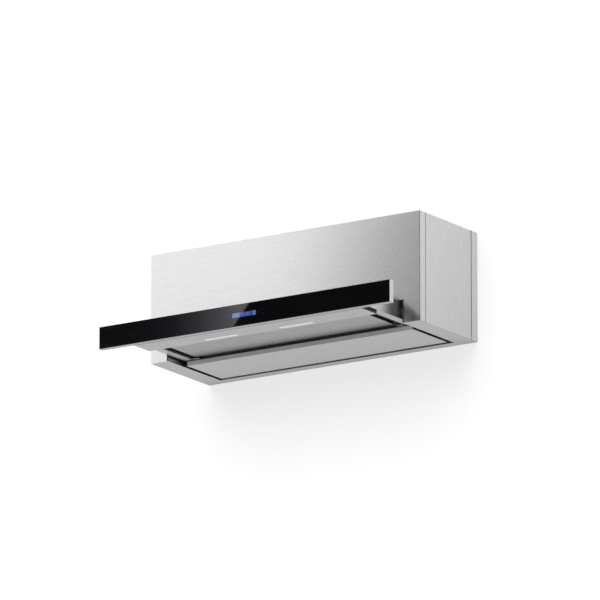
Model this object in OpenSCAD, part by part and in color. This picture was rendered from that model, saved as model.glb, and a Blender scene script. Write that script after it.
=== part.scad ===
// Pull out range hood for a 900 mm opening.
// +Z is up, the wall is the plane y = 0 and the hood reaches towards -Y.
// The origin is the centre of the four wall fixing holes. The drawer is drawn pulled out.

/* [Body] */
// Width of the steel body
body_w = 834; // [800:1:1000]
// Depth of the body, from the wall to its front panel
body_d = 274; // [260:1:310]
// Height of the body
body_h = 292; // [280:1:310]
// Thickness of the body's steel sheet
sheet_t = 1; // [0.8:0.1:1.2]
// Depth of the front panel's folds along the sides
front_wrap = 26; // [16:1:40]
// Depth of the back panel's folds along the sides
back_wrap = 28; // [16:1:40]
// Height of the plain strip below the side folds
foot_h = 12; // [10:0.5:16]
// Width of the open seam beside each side fold
seam = 0.6; // [0.3:0.1:1]
// Width of the inner fixing flanges
flange_w = 14; // [12:1:20]

/* [Underside] */
// Width of the underside's side borders
border_w = 54; // [45:1:60]
// Width of the underside's rear border
rear_border = 28; // [24:1:32]
// Air gap beside the body's suction panel
panel_gap = 13; // [10:0.5:16]
// Air gap behind the body's suction panel
rear_gap = 15.5; // [12:0.5:20]
// Depth of the folds beside the drawer opening
return_d = 22; // [12:1:22]

/* [Drawer] */
// Distance that the drawer travels
travel = 174; // [150:1:176]
// Gap between the closed front bar and the front panel
bar_play = 2; // [1.5:0.5:4]
// Width of each side gap that the rails run in
rail_gap = 8; // [7.6:0.1:8.5]
// Height of the drawer's floor above the underside
tray_lift = 13; // [12:0.5:14]
// Thickness of the drawer's steel sheet
tray_t = 1; // [0.8:0.1:1.2]
// Width of the drawer's lower flanges
tray_flange = 30; // [24:1:36]
// Space between the closed drawer and the wall
rear_room = 10; // [10:0.5:14]
// Depth of the cover over the drawer that stays inside the body
cover_lap = 15; // [6:1:30]

/* [Front bar] */
// Width of the glass front bar
bar_w = 898; // [850:1:1000]
// Height of the front bar
bar_h = 59; // [56:0.5:64]
// Height of the front bar above the underside
bar_lift = 3; // [2.5:0.1:4]
// How far the front bar reaches above the drawer opening
bar_lap = 0.6; // [0.4:0.1:2]
// Thickness of the glass
glass_t = 4; // [3:0.5:6]
// Depth of the aluminium profile behind the glass
profile_d = 12; // [10:0.5:16]
// Wall of the aluminium profile
profile_t = 1.6; // [1.2:0.1:2.5]
// Thickness of the end caps
cap_t = 1.2; // [1:0.1:2]

/* [Lights and display] */
// Depth of the light panel under the front of the drawer
light_d = 72; // [60:1:80]
// Length of each light
led_w = 102; // [60:1:140]
// Width of each light
led_d = 13; // [8:0.5:18]
// Distance of each light from the middle
led_x = 116; // [90:1:220]
// Distance from a light's centre line to the light panel's rear edge
led_inset = 16; // [14:0.5:24]
// Width of the display
display_w = 75; // [50:1:100]
// Height of the display
display_h = 14.5; // [10:0.5:24]

/* [Filters] */
// Height of a grease filter cassette
filter_h = 9; // [6:0.5:9]
// Width of a cassette's frame
filter_rim = 13; // [10:0.5:20]
// Distance between the middles of two mesh openings
mesh_pitch = 30; // [26:1:50]
// Width of the strands between mesh openings
mesh_bar = 3.5; // [2:0.5:6]

/* [Blower] */
// Width of the blower wheel
wheel_w = 110; // [96:1:140]
// Number of blades
blades = 36; // [24:1:48]
// Depth of a blade, measured along the radius
blade_d = 13; // [9:0.5:16]
// Radius of the motor
motor_r = 42; // [36:1:44]
// Radius of the motor shaft
shaft_r = 4; // [3:0.5:6]
// Gap between the grease filters and the blower housing
blower_under = 3.5; // [2:0.5:10]
// Gap between the blower housing and the top panel
blower_over = 13; // [8:0.5:30]
// How far the blower housing sits in front of the body's middle
blower_ahead = 3; // [0:0.5:10]
// Gap between the wheel and the scroll's tongue
tongue_gap = 7; // [5:0.5:8]
// Growth of the scroll's radius from the tongue to its outlet
scroll_growth = 46; // [36:1:50]
// Wall of the blower housing
scroll_t = 2; // [1.5:0.1:2.5]

/* [Outlet] */
// Outside diameter of the duct collar
duct_d = 124; // [118:0.5:125]
// Height of the duct collar
duct_h = 38; // [28:1:60]
// Wall of the duct collar
duct_t = 1.6; // [1.4:0.1:2.2]
// Thickness of the non-return flaps
flap_t = 1.6; // [1.2:0.1:2]

/* [Fixing] */
// Height of the middle of the wall fixing holes above the underside
fix_z = 200; // [150:1:230]
// Distance between the left and right wall fixing holes
fix_span = 620; // [400:10:700]
// Distance between the upper and lower wall fixing holes
fix_rise = 100; // [60:5:120]
// Diameter of the wall fixing holes
fix_d = 6; // [4.5:0.1:8]
// Distance between the left and right cabinet fixing holes
cab_span = 700; // [500:10:740]
// Distance between the front and rear cabinet fixing holes
cab_depth = 180; // [120:5:200]
// Diameter of the cabinet fixing holes
cab_d = 5.5; // [4.5:0.1:7]
// Diameter of the hole for the mains cable in its gland
cable_d = 7; // [5:0.5:9]

/* [Hidden] */

round_fn = 64;          // round surfaces
small_fn = 32;          // pins, screws and rollers
run_clear = 0.05;       // radial clearance of a turning pin
fit_clear = 0.3;        // clearance of pieces that move past each other
past = 1;               // how far a cut runs past a face
under_play = 1;         // clearance between the drawer's floor and the pieces below it
cover_play = 1;         // clearance between the drawer's cover and the drawer opening

// Heights and lengths that follow from the sizes above
opening_h = bar_lift + bar_h - bar_lap;
tray_h = opening_h - tray_lift - tray_t - cover_play;
pan_lip = tray_lift - under_play;
tail = body_d - travel - rear_room;

// Levels, from the underside up
z0 = -fix_z;
z_top = z0 + body_h;
z_in = z_top - sheet_t;
z_tray = z0 + tray_lift;
z_cover = z_tray + tray_h;
z_bar = z0 + bar_lift;
z_bar_top = z_bar + bar_h;
deck_play = 0.8;
z_deck = z0 + opening_h + sheet_t + deck_play;

// Depths, from the front panel back
y_f = -body_d;
y_fin = y_f + sheet_t;
y_in = -sheet_t;
y_bar = y_f - travel - bar_play;
y_glass = y_bar - profile_d;
y_led = y_bar + light_d;
y_tail = y_f + tail;
pan_play = 0.5;
y_pan = y_led + travel + pan_play;
y_pan_end = -rear_border - rear_gap;

// Half widths
shell_x = body_w / 2 - sheet_t;
open_x = body_w / 2 - border_w;
pan_x = open_x - panel_gap;
tray_x = open_x - rail_gap;
lip_x = tray_x - tray_flange;
light_in = 3.4;         // distance of the light panel from the drawer's walls
light_x = tray_x - light_in;
bar_x = bar_w / 2 - cap_t;

steel = [0.78, 0.78, 0.79];
zinc = [0.66, 0.68, 0.70];
dark = [0.16, 0.16, 0.17];
alu = [0.85, 0.86, 0.87];
glass_black = [0.03, 0.03, 0.035];
white = [0.92, 0.92, 0.90];
board = [0.10, 0.35, 0.18];
brass = [0.80, 0.64, 0.30];

// A box between two opposite corners
module block(a, b) {
    translate(a) cube(b - a);
}

// The same child on the right and, mirrored, on the left
module both_sides() {
    for (m = [0, 1]) mirror([m, 0, 0]) children();
}

// A rod along X from x_a to x_b
module rod_x(x_a, x_b, y, z, r, fn = small_fn) {
    translate([x_a, y, z]) rotate([0, 90, 0]) cylinder(h = x_b - x_a, r = r, $fn = fn);
}

// A rod along Y from y_a to y_b
module rod_y(y_a, y_b, x, z, r, fn = small_fn) {
    translate([x, y_b, z]) rotate([90, 0, 0]) cylinder(h = y_b - y_a, r = r, $fn = fn);
}

// A rod along Z from z_a to z_b
module rod_z(z_a, z_b, x, y, r, fn = small_fn) {
    translate([x, y, z_a]) cylinder(h = z_b - z_a, r = r, $fn = fn);
}

// ---------- Body shell ----------

// Front sheet with its side folds, the drawer opening and the folds round that
module front_panel() {
    color(steel) {
        difference() {
            block([-body_w / 2, y_f, z0], [body_w / 2, y_fin, z_top]);
            block([-open_x, y_f - past, z0 - past], [open_x, y_fin + past, z0 + opening_h]);
        }
        both_sides() {
            block([shell_x, y_fin, z0 + foot_h], [body_w / 2, y_f + front_wrap, z_top]);
            block([open_x, y_fin, z0 + sheet_t], [open_x + sheet_t, y_f + return_d, z0 + opening_h]);
        }
        block([-open_x - sheet_t, y_fin, z0 + opening_h],
              [open_x + sheet_t, y_f + flange_w, z0 + opening_h + sheet_t]);
    }
}

// Right side sheet: flush between the front and back folds, with a backing strip behind each seam
module side_panel_right() {
    y_a = y_f + front_wrap + seam;
    y_b = -back_wrap - seam;
    lap = flange_w / 2;
    color(steel) {
        block([shell_x, y_a, z0 + foot_h], [body_w / 2, y_b, z_top]);
        block([shell_x, y_fin, z0], [body_w / 2, y_in, z0 + foot_h]);
        for (y = [y_a, y_b]) {
            block([shell_x - sheet_t, y - lap, z0 + foot_h / 2],
                  [shell_x, y + lap, z_in - sheet_t]);
        }
        difference() {
            block([shell_x - flange_w, y_a, z_in - sheet_t], [shell_x, y_b, z_in]);
            for (p = top_screw_places) {
                rod_z(z_in - sheet_t - past, z_in + past, p[0], p[1], screw_r + run_clear);
            }
        }
    }
}

module side_panel_left() {
    mirror([1, 0, 0]) side_panel_right();
}

cab_y = -body_d / 2;
bead_h = 1.6;           // height of the pressed stiffening beads
bead_w = 12;
bead_in = 60;           // distance of a bead's outer end from the cabinet fixing holes
bead_l = 130;
bead_edge = 77;         // distance of the outer beads from the body's front and back
bead_pitch = body_d / 2 - bead_edge;
gland_r = 8;
gland_in = 165;         // distance of the cable gland from the side
gland_x = gland_in - body_w / 2;

duct_r = duct_d / 2;
duct_in = duct_r - duct_t;
collar_rim = 12;        // width of the collar's base
collar_back = 0.7;      // distance of the collar's base from the wall
stop_w = 3.5;           // width of the ledge that the closed flaps lie above
outlet_y = -duct_r - collar_rim - collar_back;

// A pressed stiffening bead with round ends, along X
module bead_x(x_a, x_b, y, z) {
    translate([0, 0, z]) linear_extrude(bead_h) {
        translate([x_a, y - bead_w / 2]) square([x_b - x_a, bead_w]);
        translate([x_a, y]) circle(d = bead_w, $fn = small_fn);
        translate([x_b, y]) circle(d = bead_w, $fn = small_fn);
    }
}

// Top sheet with the outlet hole, the gland hole, the cabinet fixing holes and beads
module top_panel() {
    color(zinc) difference() {
        union() {
            block([-shell_x, y_fin, z_in], [shell_x, y_in, z_top]);
            both_sides() for (k = [-1, 0, 1]) {
                bead_b = cab_span / 2 - bead_in;
                bead_x(bead_b - bead_l, bead_b, cab_y + k * bead_pitch, z_top);
            }
        }
        rod_z(z_in - past, z_top + past, 0, outlet_y, duct_r - duct_t, round_fn);
        rod_z(z_in - past, z_top + past, gland_x, gland_y, gland_r + run_clear);
        for (x = [-1, 1], y = [-1, 1]) {
            rod_z(z_in - past, z_top + past,
                  x * cab_span / 2, cab_y + y * cab_depth / 2, cab_d / 2);
        }
        for (p = top_screw_places) {
            rod_z(z_in - past, z_top + past, p[0], p[1], screw_r + run_clear);
        }
    }
}

// Back sheet with its side folds and the wall fixing holes
module back_panel() {
    color(zinc) {
        difference() {
            block([-body_w / 2, y_in, z0], [body_w / 2, 0, z_top]);
            for (x = [-1, 1], z = [-1, 1]) {
                rod_y(y_in - past, past, x * fix_span / 2, z * fix_rise / 2, fix_d / 2);
            }
        }
        both_sides() {
            block([shell_x, -back_wrap, z0 + foot_h], [body_w / 2, y_in, z_top]);
        }
    }
}

// Pivots of the two suction panels
pin_r = 2;
pin_head_r = 3.2;
pin_head_t = 1.5;
pin_out = 1;            // how far a pivot pin stands out of its sheet
pivot_in = 4.5;         // distance of a suction panel's pivots from its rear edge
pivot_lift = 7;         // height of the body panel's pivots above its face
y_pivot = y_pan_end - pivot_in;
z_pivot = z0 + pivot_lift;

// Underside border with its upright inner walls, which carry the rails and the panel's pivots
module bottom_frame() {
    wall_y = y_f + return_d + seam;
    color(steel) difference() {
        union() {
            difference() {
                block([-shell_x, y_fin, z0], [shell_x, y_in, z0 + sheet_t]);
                block([-open_x, y_f, z0 - past], [open_x, -rear_border, z0 + sheet_t + past]);
            }
            both_sides() {
                block([open_x, wall_y, z0], [open_x + sheet_t, y_in, z_deck]);
            }
            block([-open_x, -rear_border, z0], [open_x, -rear_border + sheet_t, z0 + pan_lip]);
        }
        both_sides() {
            rod_x(open_x - past, open_x + sheet_t + past, y_pivot, z_pivot, pin_r + run_clear);
        }
    }
}

// ---------- Filters in the body ----------

deck_rim = 10;          // width of the deck's ledges beside the filters
deck_mid = 20;          // width of the deck's middle bridge
filter_play = 1;        // clearance round a cassette in the deck
deck_front = 85;        // width of the deck's front border
deck_back = 12;         // width of the deck's rear border
y_deck_a = y_f + deck_front;
y_deck_b = -deck_back;
filter_lift = 1.1;      // clearance between the drawer's cover and the filters
z_filter = z_cover + tray_t + filter_lift;
latch_w = 24;
latch_t = 3;
pad_w = 16;             // width of a latch's finger pad
pad_d = 4;              // depth of a latch's finger pad
pocket_wall = 1;        // wall in front of the finger pad's pocket
latch_throw = 6;        // how far a latch slides back
latch_bite = 5;         // how far a latch's tongue reaches over the deck

// Steel deck above the drawer, with one opening for each cassette
module filter_deck() {
    color(zinc) {
        difference() {
            block([-shell_x + sheet_t, y_fin, z_deck],
                  [shell_x - sheet_t, y_in, z_deck + sheet_t]);
            both_sides() block([deck_mid / 2, y_deck_a, z_deck - past],
                               [open_x - deck_rim, y_deck_b, z_deck + sheet_t + past]);
        }
    }
}

// A plate of expanded mesh, with rows of diamond openings set half a pitch apart
module mesh_plate(size_x, size_y, t) {
    cell_x = mesh_pitch;
    cell_y = mesh_pitch * 0.6;
    hole_x = cell_x - mesh_bar * 1.4;
    hole_y = cell_y - mesh_bar;
    cols = floor((size_x - mesh_bar) / cell_x);
    rows = floor((size_y - mesh_bar) / cell_y * 2) - 1;
    linear_extrude(t) difference() {
        square([size_x, size_y], center = true);
        for (j = [0 : rows - 1]) {
            n = cols - j % 2;
            for (i = [0 : n - 1]) {
                translate([(i - (n - 1) / 2) * cell_x, (j - (rows - 1) / 2) * cell_y / 2])
                    polygon([[-hole_x / 2, 0], [0, -hole_y / 2], [hole_x / 2, 0], [0, hole_y / 2]]);
            }
        }
    }
}

// A cassette: its frame, the expanded mesh inside and, at its front, the latch's slot
module cassette(a, b, slot) {
    mid_x = (a[0] + b[0]) / 2;
    mid_y = (a[1] + b[1]) / 2;
    mesh_t = 1.5;
    mesh_up = 1;
    y_pocket = a[1] + pocket_wall;
    difference() {
        block(a, b);
        block([a[0] + filter_rim, a[1] + filter_rim, a[2] - past],
              [b[0] - filter_rim, b[1] - filter_rim, b[2] + past]);
        if (slot) {
            block([mid_x - latch_w / 2 - fit_clear, a[1] - past, z_latch - fit_clear],
                  [mid_x + latch_w / 2 + fit_clear, a[1] + filter_rim + past,
                   z_latch + latch_t + fit_clear]);
            block([mid_x - pad_w / 2 - fit_clear, y_pocket, a[2] - past],
                  [mid_x + pad_w / 2 + fit_clear, y_pocket + pad_d + latch_throw + 2 * fit_clear,
                   z_latch]);
        }
    }
    translate([mid_x, mid_y, a[2] + mesh_up])
        mesh_plate(b[0] - a[0] - 2 * filter_rim, b[1] - a[1] - 2 * filter_rim, mesh_t);
}

filter_xa = deck_mid / 2 + filter_play;
filter_xb = open_x - deck_rim - filter_play;
filter_ya = y_deck_a + filter_play;
filter_yb = y_deck_b - filter_play;
z_latch = z_deck + sheet_t + fit_clear;
hook_w = 18;
hook_d = 6;
hook_t = 1.2;
hook_in = 50;           // distance of a hook from the cassette's side

// Right grease filter, hooked over the deck at the rear and latched at the front
module filter_right() {
    color(alu) {
        cassette([filter_xa, filter_ya, z_filter],
                 [filter_xb, filter_yb, z_filter + filter_h], true);
        for (x = [filter_xa + hook_in, filter_xb - hook_in]) {
            block([x - hook_w / 2, filter_yb, z_latch],
                  [x + hook_w / 2, filter_yb + hook_d, z_latch + hook_t]);
        }
    }
}

module filter_left() {
    mirror([1, 0, 0]) filter_right();
}

// Sliding latch of the right filter, with its finger pad in the frame's pocket
module filter_latch_right() {
    x = (filter_xa + filter_xb) / 2;
    y_pad = filter_ya + pocket_wall + fit_clear;
    color(dark) {
        block([x - latch_w / 2, y_deck_a - latch_bite, z_latch],
              [x + latch_w / 2, y_pad + pad_d, z_latch + latch_t]);
        block([x - pad_w / 2, y_pad, z_filter + fit_clear],
              [x + pad_w / 2, y_pad + pad_d, z_latch]);
    }
}

module filter_latch_left() {
    mirror([1, 0, 0]) filter_latch_right();
}

// ---------- Suction panels ----------

rear_lip_cut = 2.5;     // how much lower the body panel is at its rear, to swing below the drawer
lip_slope = 12;         // length of the side lips' sloping ends

// A folded pan: a flat face with upright lips, relieved at its corners
module pan(half_x, y_a, y_b, z, lip, lip_rear, t) {
    relief = 3 * t;
    block([-half_x, y_a, z], [half_x, y_b, z + t]);
    block([-half_x + relief, y_a, z], [half_x - relief, y_a + t, z + lip]);
    block([-half_x + relief, y_b - t, z], [half_x - relief, y_b, z + lip_rear]);
    difference() {
        both_sides() yz_plate(half_x - t, half_x) polygon([
            [y_a + relief, z], [y_b - t, z], [y_b - t, z + lip_rear],
            [y_b - lip_slope, z + lip], [y_a + relief, z + lip]
        ]);
        children();
    }
}

// The body's suction panel, which swings down at its front edge
module body_panel() {
    color(steel) pan(pan_x, y_pan, y_pan_end, z0, pan_lip, pan_lip - rear_lip_cut, sheet_t) {
        rod_x(-pan_x - past, pan_x + past, y_pivot, z_pivot, pin_r + run_clear);
    }
}

// A headed pivot pin that points out to the right
module pivot_pin(x_head, x_end, y, z) {
    rod_x(x_head - pin_head_t, x_head, y, z, pin_head_r);
    rod_x(x_head, x_end, y, z, pin_r);
}

module body_panel_pins() {
    color(alu) both_sides() {
        pivot_pin(pan_x - sheet_t, open_x + sheet_t + pin_out, y_pivot, z_pivot);
    }
}

catch_l = 14;
catch_h = 7;
catch_in = 12;          // distance of a catch from a panel's front edge
catch_up = 3;           // height of a catch above the panel's face

// Snap catches in the side gaps, which hold the body's suction panel shut
module panel_catches() {
    y = y_pan + catch_in;
    z = z0 + catch_up;
    color(dark) both_sides() {
        block([pan_x + fit_clear, y, z], [open_x, y + catch_l, z + catch_h]);
    }
}

// ---------- Drawer rails and rollers ----------

roller_r = 6.6;
roller_play = 0.2;      // clearance between a roller and its rail
rail_t = 1.2;
rail_mid = 36;          // height of the roller axes above the underside
rail_stop = 1.2;        // thickness of the folded stop at a rail's front end
z_roll = z0 + rail_mid;
rail_front = 2;         // distance of a rail from the front panel's folds
rail_back = 4;          // distance of a rail from the back panel
rail_side = 1;          // distance of a rail from the drawer
roller_side = 0.4;      // clearance at a roller's ends
roller_in = 8;          // distance of the rear rollers' axes from the drawer's rear end
y_rail = y_f + return_d + rail_front;
y_rail_end = y_in - rail_back;
y_roll_a = y_rail + rail_stop + fit_clear + roller_r;
y_roll_b = y_tail - roller_in;

// Right rail: a channel that is open towards the drawer and folded shut in front
module rail_right() {
    h = roller_r + roller_play;
    x_a = tray_x + rail_side;
    color(zinc) difference() {
        block([x_a, y_rail, z_roll - h - rail_t], [open_x, y_rail_end, z_roll + h + rail_t]);
        block([x_a - past, y_rail + rail_stop, z_roll - h],
              [open_x - rail_t, y_rail_end + past, z_roll + h]);
    }
}

module rail_left() {
    mirror([1, 0, 0]) rail_right();
}

// A nylon roller on the right rail
module roller(y) {
    x_a = tray_x + roller_side;
    x_b = open_x - rail_t - roller_side;
    color(white) difference() {
        rod_x(x_a, x_b, y, z_roll, roller_r, round_fn);
        rod_x(x_a - past, x_b + past, y, z_roll, pin_r + run_clear);
    }
}

module roller_right_front() {
    roller(y_roll_a);
}

module roller_right_rear() {
    roller(y_roll_b);
}

module roller_left_front() {
    mirror([1, 0, 0]) roller(y_roll_a);
}

module roller_left_rear() {
    mirror([1, 0, 0]) roller(y_roll_b);
}

// Stub pins of the rollers, headed inside the drawer's walls
module roller_pins() {
    color(alu) both_sides() for (y = [y_roll_a, y_roll_b]) {
        pivot_pin(tray_x - tray_t, open_x - rail_t - 1.5 * roller_side, y, z_roll);
    }
}

// ---------- Drawer ----------

tray_lip = 11;          // height of the drawer's inner lips, on which the filter lies
tray_rear = 15;         // width of the strip across the drawer's rear end
tray_fold = 10;         // width of the folds along the top of the drawer's walls
panel_rise = 0.4;       // height of the drawer's suction panel above its flanges
drawer_pan_lip = 8;
drawer_gap = 17.5;      // air gap beside the drawer's suction panel
drawer_rear_gap = 30;   // air gap behind the drawer's suction panel
sill_w = 4;             // width of the drawer's floor behind the light panel
sill_gap = 2;           // gap between that floor and the suction panel
drawer_pivot_lift = 4.6;    // height of the drawer panel's pivots above its face
drawer_pan_x = lip_x - drawer_gap;
y_sill = y_led + sill_w;
y_strip = y_tail - tray_rear;
y_dpan = y_sill + sill_gap;
y_dpan_end = y_strip - drawer_rear_gap;
y_dpivot = y_dpan_end - pivot_in;
z_dpan = z_tray + panel_rise;
z_dpivot = z_dpan + drawer_pivot_lift;
bar_screw_a = 60;       // distance of the inner bar screws from the middle
bar_screw_in = 35;      // distance of the outer bar screws from the drawer's walls
bar_screw_step = (tray_x - bar_screw_in - bar_screw_a) / 2;
bar_screw_x = [for (k = [0 : 2]) bar_screw_a + k * bar_screw_step];
screw_r = 2;
screw_head_r = 3.8;
screw_head_t = 2;
screw_l = 5;            // length of a top screw below the top panel

// Folded steel drawer: walls, floor flanges round the air opening, front wall and rear strip
module tray() {
    color(steel) difference() {
        union() {
            difference() {
                block([-tray_x, y_bar, z_tray], [tray_x, y_tail, z_tray + tray_t]);
                block([-lip_x, y_sill, z_tray - past],
                      [lip_x, y_strip, z_tray + tray_t + past]);
            }
            block([-tray_x, y_bar, z_tray], [tray_x, y_bar + tray_t, z_cover]);
            both_sides() {
                block([tray_x - tray_t, y_bar, z_tray], [tray_x, y_tail, z_cover]);
                block([tray_x - tray_fold, y_bar, z_cover - tray_t], [tray_x, y_tail, z_cover]);
                block([lip_x, y_sill, z_tray], [lip_x + tray_t, y_strip, z_tray + tray_lip]);
            }
            block([-lip_x - tray_t, y_strip, z_tray],
                  [lip_x + tray_t, y_strip + tray_t, z_tray + tray_lip]);
            block([switch_x - striker_w / 2, y_tail - tray_t, z_tray],
                  [switch_x + striker_w / 2, y_tail, z_tray + striker_h]);
        }
        both_sides() {
            rod_x(lip_x - past, lip_x + tray_t + past, y_dpivot, z_dpivot, pin_r + run_clear);
            for (y = [y_roll_a, y_roll_b]) {
                rod_x(tray_x - tray_t - past, tray_x + past, y, z_roll, pin_r + run_clear);
            }
            for (x = bar_screw_x) {
                rod_y(y_bar - past, y_bar + tray_t + past, x, z_bar_mid, screw_r + run_clear);
            }
        }
    }
}

// Sheet over the part of the drawer that comes out of the body
module tray_cover() {
    color(steel) block([-tray_x, y_bar, z_cover], [tray_x, y_f + cover_lap, z_cover + tray_t]);
}

// Light panel: a shallow pan below the drawer's floor, cut out for the lights
module light_panel() {
    y_c = y_led - led_inset;
    color(steel) difference() {
        union() {
            block([-light_x, y_bar, z_bar], [light_x, y_led, z_bar + tray_t]);
            for (y = [y_bar, y_led - tray_t]) {
                block([-light_x, y, z_bar], [light_x, y + tray_t, z_tray]);
            }
            both_sides() block([light_x - tray_t, y_bar, z_bar], [light_x, y_led, z_tray]);
        }
        both_sides() block([led_x - led_w / 2, y_c - led_d / 2, z_bar - past],
                           [led_x + led_w / 2, y_c + led_d / 2, z_bar + tray_t + past]);
    }
}

light_play = 0.2;
light_rim = 2.5;        // how far a lens's flange laps over the light panel
light_h = 4;            // height of a lens above the light panel's sheet
led_board_t = 1.6;

// Right light: an opal lens with a flange that lies on the light panel
module light_right() {
    y_c = y_led - led_inset;
    color(white) {
        block([led_x - led_w / 2 + light_play, y_c - led_d / 2 + light_play, z_bar],
              [led_x + led_w / 2 - light_play, y_c + led_d / 2 - light_play, z_bar + tray_t]);
        block([led_x - led_w / 2 - light_rim, y_c - led_d / 2 - light_rim, z_bar + tray_t],
              [led_x + led_w / 2 + light_rim, y_c + led_d / 2 + light_rim,
               z_bar + tray_t + light_h]);
    }
}

module light_left() {
    mirror([1, 0, 0]) light_right();
}

// Circuit boards of the lights, seated on the lenses
module light_boards() {
    y_c = y_led - led_inset;
    z = z_bar + tray_t + light_h;
    color(board) both_sides() {
        block([led_x - led_w / 2, y_c - led_d / 2, z],
              [led_x + led_w / 2, y_c + led_d / 2, z + led_board_t]);
    }
}

// ---------- Front bar ----------

z_bar_mid = (z_tray + z_cover) / 2;
glass_lip = 1.2;        // lip of the profile under the glass
glass_set = 0.2;        // how far the glass lies behind the end caps' front edges
bond_w = 7;             // width of the folds that the glass is bonded to
board_t = 1.6;
plug_l = 8;             // length of an end cap's plug
plug_play = 0.2;

// Aluminium profile: a channel with bonding folds in front and a lip under the glass
module front_profile() {
    z_a = z_bar + glass_lip;
    color(alu) difference() {
        union() {
            block([-bar_x, y_glass, z_bar], [bar_x, y_bar, z_bar_top]);
            block([-bar_x, y_glass - glass_t, z_bar], [bar_x, y_bar, z_a]);
        }
        block([-bar_x - past, y_glass + profile_t, z_bar + profile_t],
              [bar_x + past, y_bar - profile_t, z_bar_top - profile_t]);
        block([-bar_x - past, y_glass - past, z_a + bond_w],
              [bar_x + past, y_glass + profile_t + past, z_bar_top - bond_w]);
        both_sides() for (x = bar_screw_x) {
            rod_y(y_bar - profile_t - past, y_bar + past, x, z_bar_mid, screw_r + run_clear);
        }
    }
}

// Right end cap, with a plug that seats inside the profile
module end_cap_right() {
    y_a = y_glass - glass_t - glass_set;
    gap = profile_t + plug_play;
    color(alu) {
        block([bar_x, y_a, z_bar], [bar_x + cap_t, y_bar, z_bar_top]);
        block([bar_x - plug_l, y_glass + gap, z_bar + gap], [bar_x, y_bar - gap, z_bar_top - gap]);
    }
}

module end_cap_left() {
    mirror([1, 0, 0]) end_cap_right();
}

// Glass front with finely bevelled long edges
module glass_panel() {
    bevel = 0.5;
    y_a = y_glass - glass_t;
    z_a = z_bar + glass_lip;
    color(glass_black) translate([-bar_x, 0, 0]) rotate([90, 0, 90]) linear_extrude(2 * bar_x)
        polygon([
            [y_glass, z_a], [y_glass, z_bar_top], [y_a + bevel, z_bar_top],
            [y_a, z_bar_top - bevel], [y_a, z_a + bevel], [y_a + bevel, z_a]
        ]);
}

display_t = 4;
key_pitch = 22;         // distance between two touch pads
key_r = 4;
board_h = 30;           // height of the control board

// Display module, against the back of the glass
module display() {
    z = z_bar + bar_h / 2;
    color([0.20, 0.42, 0.85]) block([-display_w / 2, y_glass, z - display_h / 2],
                                    [display_w / 2, y_glass + display_t, z + display_h / 2]);
}

// Control board behind the display, with the touch pads' springs up to the glass
module control_board() {
    z = z_bar + bar_h / 2;
    half_w = display_w / 2 + 3 * key_pitch;
    y = y_glass + display_t;
    color(board) {
        block([-half_w, y, z - board_h / 2], [half_w, y + board_t, z + board_h / 2]);
        both_sides() for (k = [0, 1]) {
            rod_y(y_glass, y, display_w / 2 + key_pitch * (k + 0.8), z, key_r);
        }
    }
}

// Screws through the drawer's front wall into the profile
module bar_screws() {
    y = y_bar + tray_t;
    color(alu) both_sides() for (x = bar_screw_x) {
        rod_y(y, y + screw_head_t, x, z_bar_mid, screw_head_r);
        rod_y(y_bar - profile_t, y, x, z_bar_mid, screw_r);
    }
}

bumper_r = 5;

// Rubber bumpers on the back of the bar, outside the drawer's walls
module bar_bumpers() {
    x = (tray_x + body_w / 2) / 2;
    color(dark) both_sides() for (z = [0.3, 0.7]) {
        rod_y(y_bar, y_bar + bar_play - fit_clear, x, z_bar + z * bar_h, bumper_r);
    }
}

// ---------- Parts in the drawer ----------

module drawer_panel() {
    lip = drawer_pan_lip;
    color(steel) pan(drawer_pan_x, y_dpan, y_dpan_end, z_dpan, lip, lip, tray_t) {
        rod_x(-drawer_pan_x - past, drawer_pan_x + past, y_dpivot, z_dpivot, pin_r + run_clear);
    }
}

module drawer_panel_pins() {
    color(alu) both_sides() {
        pivot_pin(drawer_pan_x - tray_t, lip_x + tray_t + pin_out, y_dpivot, z_dpivot);
    }
}

drawer_catch_up = 2;    // height of the drawer's catches above its flanges
drawer_catch_h = 6;

// Snap catches that hold the drawer's suction panel shut
module drawer_catches() {
    y = y_dpan + catch_in;
    z = z_tray + drawer_catch_up;
    color(dark) both_sides() {
        block([drawer_pan_x + fit_clear, y, z], [lip_x, y + catch_l, z + drawer_catch_h]);
    }
}

drawer_filter_h = 8;
filter_lap = 6;         // how far the drawer's filter reaches over its side lips
filter_lap_rear = 8;    // how far it reaches over the rear lip

// Grease filter of the drawer, lying on the inner lips
module drawer_filter() {
    x = lip_x + tray_t + filter_lap;
    z = z_tray + tray_lip;
    color(alu) cassette([-x, y_dpan, z], [x, y_strip + filter_lap_rear, z + drawer_filter_h], false);
}

// ---------- Drawer switch ----------

switch_in = 60;         // distance of the drawer switch from the side border
switch_x = open_x - switch_in;
switch_w = 12.8;
switch_d = 6.5;
switch_h = 5.8;
plunger_w = 3;
plunger_in = 1.5;       // length of the plunger inside the switch
plunger_press = 0.8;    // how far the plunger travels
striker_w = 16;
striker_h = 10;
y_switch = y_in - switch_d;
z_switch = z_tray + striker_h / 2;

// Drawer switch on the inside of the back panel
module switch_body() {
    slot = plunger_w / 2 + run_clear;
    color(dark) difference() {
        block([switch_x - switch_w / 2, y_switch, z_switch - switch_h / 2],
              [switch_x + switch_w / 2, y_in, z_switch + switch_h / 2]);
        block([switch_x - slot, y_switch - past, z_switch - slot],
              [switch_x + slot, y_switch + plunger_in + plunger_press + fit_clear,
               z_switch + slot]);
    }
}

// Plunger that the closed drawer's striker meets
module switch_plunger() {
    y_tip = y_tail + travel + fit_clear;
    color(white) block([switch_x - plunger_w / 2, y_tip, z_switch - plunger_w / 2],
                       [switch_x + plunger_w / 2, y_switch + plunger_in,
                        z_switch + plunger_w / 2]);
}

// ---------- Blower ----------

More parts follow.
